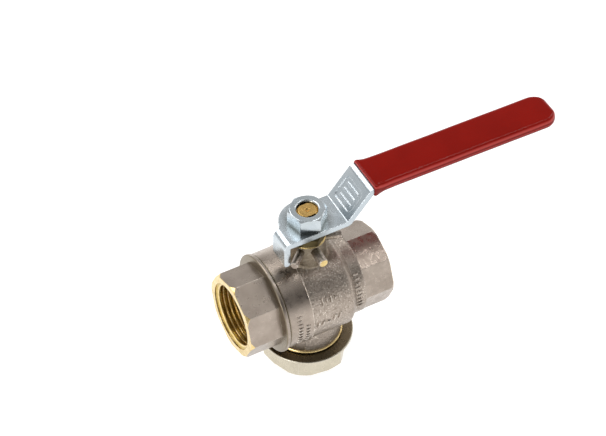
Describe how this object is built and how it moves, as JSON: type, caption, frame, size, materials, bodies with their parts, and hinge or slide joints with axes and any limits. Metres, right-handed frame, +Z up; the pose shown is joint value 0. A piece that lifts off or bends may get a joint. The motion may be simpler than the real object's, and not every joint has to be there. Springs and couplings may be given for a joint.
{
  "type": "three way valve",
  "caption": "Three way ball valve with threaded ports left, right and below, and a cranked lever with a dipped grip that turns a ball with an L-shaped bore.",
  "frame": {"origin": "centre of the bottom port's mouth, which the valve stands on", "axes": "+Z up the stem, +X along the pipe axis towards the right port, where the lever points at rest, so +Y points to the back"},
  "size_m": [0.1363, 0.039, 0.0844],
  "materials": {
    "nickel_plate": "nickel plate on forged brass, bare brass in the machined mouths",
    "brass": "turned",
    "ball_chrome": "polished chrome plate",
    "zinc_plate": "bright zinc plate on pressed steel",
    "red_sleeve": "glossy dipped soft plastic",
    "ptfe": "smooth white",
    "seal_rubber": "matt"
  },
  "bodies": {
    "valve_body": {"body": "nickel_plate", "left_end_cap": "nickel_plate", "bottom_end_cap": "nickel_plate", "left_seat": "ptfe", "right_seat": "ptfe", "bottom_seat": "ptfe", "left_cap_seal": "ptfe", "bottom_cap_seal": "ptfe", "thrust_washer": "ptfe", "packing_ring_lower": "ptfe", "packing_ring_middle": "ptfe", "packing_ring_upper": "ptfe", "gland_nut": "brass"},
    "lever_and_ball": {"lever": "zinc_plate", "grip_sleeve": "red_sleeve", "lever_nut": "zinc_plate", "stem": "brass", "stem_o_ring_lower": "seal_rubber", "stem_o_ring_upper": "seal_rubber", "ball": "ball_chrome"}
  },
  "joints": [
    {"name": "lever_turn", "type": "hinge", "parent": "valve_body", "child": "lever_and_ball", "pos_m": [0, 0, 0.0345], "axis": [0, 0, 1], "range_deg": [-180, 0]}
  ]
}
